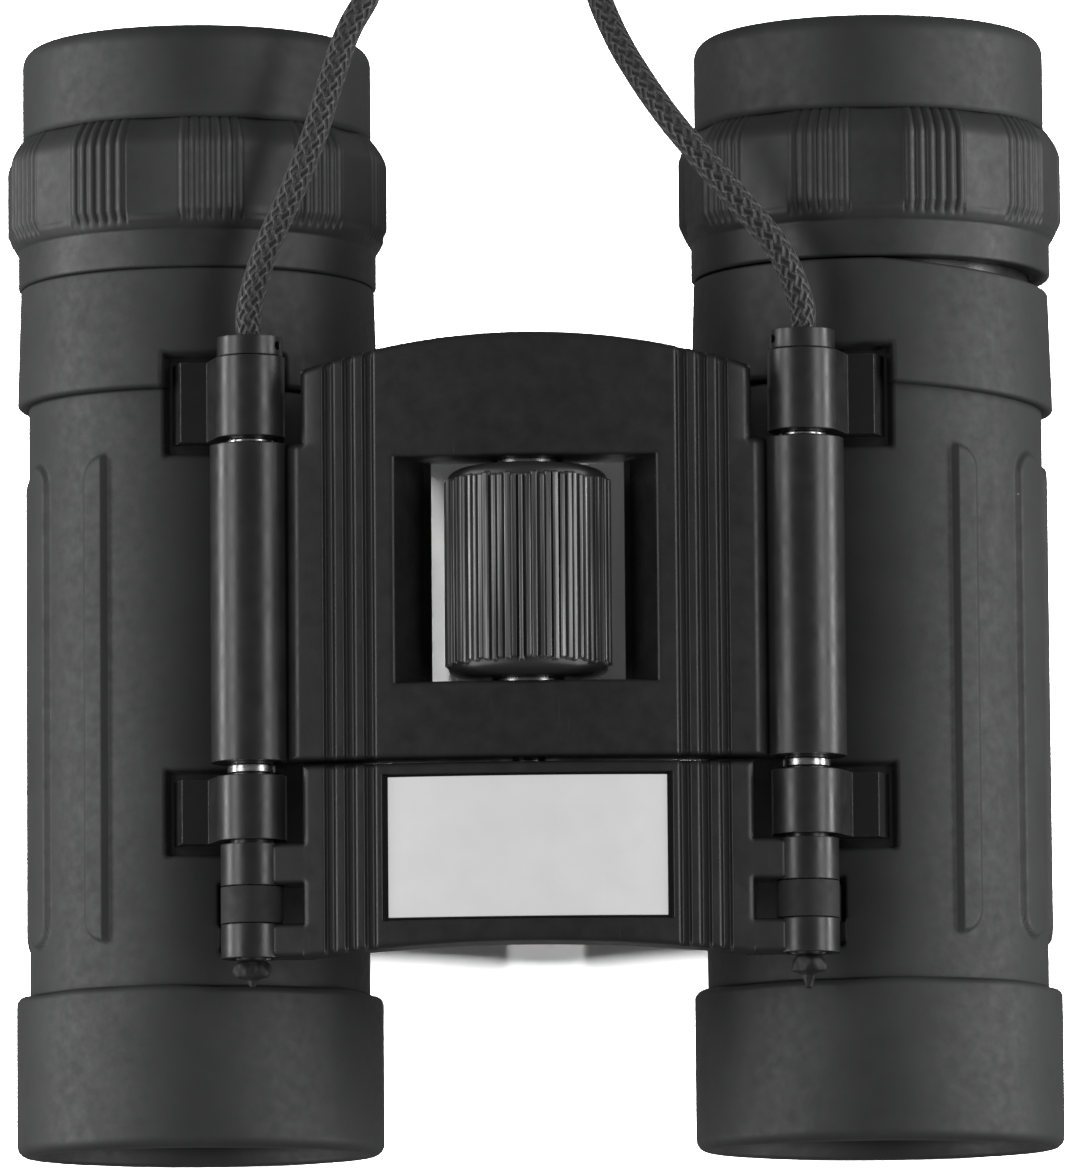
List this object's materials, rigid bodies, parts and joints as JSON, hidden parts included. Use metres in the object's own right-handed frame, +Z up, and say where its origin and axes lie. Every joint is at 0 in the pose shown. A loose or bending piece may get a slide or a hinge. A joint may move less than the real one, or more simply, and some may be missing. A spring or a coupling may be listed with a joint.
{
  "type": "binoculars",
  "caption": "Compact folding roof-prism binoculars: twin hinged barrels, central focus wheel, twisting dioptre eyepiece and a braided neck cord.",
  "frame": {"origin": "on the resting surface, midway between the two barrels and midway between the objective faces and the eyecup rims, measured without the cord", "axes": "+X from the left-hand barrel to the right-hand one as laid down with the objectives towards the viewer, +Y along the optical axes towards the eyepieces, +Z up from the barrels to the bridge"},
  "size_m": [0.095, 0.1475, 0.042],
  "materials": {
    "bridge_cover": "satin black enamel, fine grain",
    "bridge_metal": "satin black enamel over a die casting",
    "bright_steel": "bright turned steel",
    "brass": "plain turned brass",
    "wheel_metal": "black anodised, knurled, worn light on the ridges",
    "label_grey": "blank light grey plate",
    "cord_braid": "braided black polyester",
    "tie_rubber": "plain black rubber band",
    "armour_rubber": "matt black rubber, fine grain",
    "collar_rubber": "matt black rubber, fine grain",
    "cap_rubber": "matt black rubber, fine grain",
    "eyecup_rubber": "matt black rubber, smooth",
    "inner_black": "flat anti-reflection black",
    "prism_glass": "polished, edges blackened",
    "lens_glass": "polished, blue-violet coating",
    "ring_plastic": "satin black, knurled"
  },
  "bodies": {
    "root": {"bridge_frame": "bridge_metal", "rear_bridge_cover": "bridge_cover", "left_hinge_pin": "bright_steel", "right_hinge_pin": "bright_steel", "left_strap_cap": "bridge_metal", "right_strap_cap": "bridge_metal", "hinge_washers": "bright_steel", "bridge_screws": "bright_steel", "spindle_bush": "brass", "left_cord_end": "cord_braid", "right_cord_end": "cord_braid", "cord_left_run": "cord_braid", "cord_right_run": "cord_braid", "cord_coil": "cord_braid", "cord_tie": "tie_rubber"},
    "focus": {"focus_wheel": "wheel_metal", "focus_spindle": "bright_steel", "thrust_washers": "bright_steel", "wheel_grub_screw": "bright_steel"},
    "front_bridge": {"front_bridge_frame": "bridge_metal", "front_bridge_cover": "bridge_cover", "label_plate": "label_grey", "focus_nut": "brass", "front_bridge_screws": "bright_steel"},
    "left_barrel": {"left_housing": "bridge_metal", "left_armour": "armour_rubber", "left_collar": "collar_rubber", "left_objective_cap": "cap_rubber", "left_prism_cage": "inner_black", "left_half_penta_prism": "prism_glass", "left_roof_prism": "prism_glass", "left_prism_clip": "bright_steel", "left_eyepiece_tube": "inner_black", "left_field_stop": "inner_black", "left_field_lens": "lens_glass", "left_lens_spacer": "inner_black", "left_eye_lens": "lens_glass", "left_eyepiece_ring": "ring_plastic", "left_eyecup": "eyecup_rubber"},
    "left_objective": {"left_objective_cell": "inner_black", "left_objective_lens": "lens_glass", "left_lens_retainer": "inner_black"},
    "right_barrel": {"right_housing": "bridge_metal", "right_armour": "armour_rubber", "right_collar": "collar_rubber", "right_objective_cap": "cap_rubber", "right_prism_cage": "inner_black", "right_half_penta_prism": "prism_glass", "right_roof_prism": "prism_glass", "right_prism_clip": "bright_steel"},
    "right_objective": {"right_objective_cell": "inner_black", "right_objective_lens": "lens_glass", "right_lens_retainer": "inner_black"},
    "right_eyepiece": {"right_eyepiece_tube": "inner_black", "right_field_stop": "inner_black", "right_field_lens": "lens_glass", "right_lens_spacer": "inner_black", "right_eye_lens": "lens_glass"},
    "right_diopter": {"right_diopter_ring": "ring_plastic", "right_eyecup": "eyecup_rubber"}
  },
  "joints": [
    {"name": "left_barrel_fold", "type": "hinge", "parent": "root", "child": "left_barrel", "pos_m": [-0.02435, 0, 0.0357], "axis": [0, 1, 0], "range_deg": [-39, 19]},
    {"name": "right_barrel_fold", "type": "hinge", "parent": "root", "child": "right_barrel", "pos_m": [0.02435, 0, 0.0357], "axis": [0, -1, 0], "range_deg": [-39, 19]},
    {"name": "focus_turn", "type": "hinge", "parent": "root", "child": "focus", "pos_m": [0, 0, 0.0346], "axis": [0, 1, 0], "range_deg": [-36, 260]},
    {"name": "front_bridge_slide", "type": "slide", "parent": "root", "child": "front_bridge", "axis": [0, -1, 0], "range_m": [-0.00023, 0.00172]},
    {"name": "left_objective_slide", "type": "slide", "parent": "left_barrel", "child": "left_objective", "axis": [0, -1, 0], "range_m": [-0.00025, 0.00175]},
    {"name": "right_objective_slide", "type": "slide", "parent": "right_barrel", "child": "right_objective", "axis": [0, -1, 0], "range_m": [-0.00025, 0.00175]},
    {"name": "right_eyepiece_slide", "type": "slide", "parent": "right_barrel", "child": "right_eyepiece", "axis": [0, 1, 0], "range_m": [-0.00005, 0.00094]},
    {"name": "diopter_turn", "type": "hinge", "parent": "right_eyepiece", "child": "right_diopter", "pos_m": [0.0303, 0, 0.0172], "axis": [0, 1, 0], "range_deg": [-10, 170]}
  ],
  "couplings": [
    {"joint": "focus_turn", "follows": "front_bridge_slide", "rad_per_m": 2618},
    {"joint": "left_objective_slide", "follows": "front_bridge_slide", "ratio": 1},
    {"joint": "right_objective_slide", "follows": "front_bridge_slide", "ratio": 1},
    {"joint": "diopter_turn", "follows": "right_eyepiece_slide", "rad_per_m": 3141.6}
  ]
}
